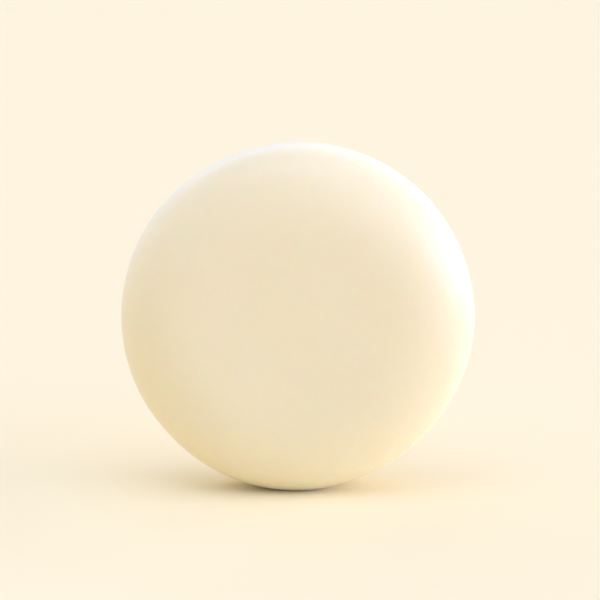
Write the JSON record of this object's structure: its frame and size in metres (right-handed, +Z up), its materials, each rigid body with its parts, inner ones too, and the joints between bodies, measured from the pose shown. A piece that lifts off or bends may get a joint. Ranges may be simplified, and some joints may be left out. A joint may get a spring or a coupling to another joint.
{
  "type": "shaving soap puck",
  "caption": "Round, flat-faced cake of hard shaving soap with wide, softly rounded shoulders, standing on its rim.",
  "frame": {"origin": "on the surface that the puck stands on, at the middle of its rim's line of contact, below the puck's centre", "axes": "+Y along the puck's round axis, from its front face to its back face; +Z up, across the diameter; +X across the diameter to the right, seen from the front"},
  "size_m": [0.072, 0.026, 0.072],
  "materials": {
    "soap": "satin"
  },
  "bodies": {
    "root": {"soap_puck": "soap"}
  },
  "joints": []
}
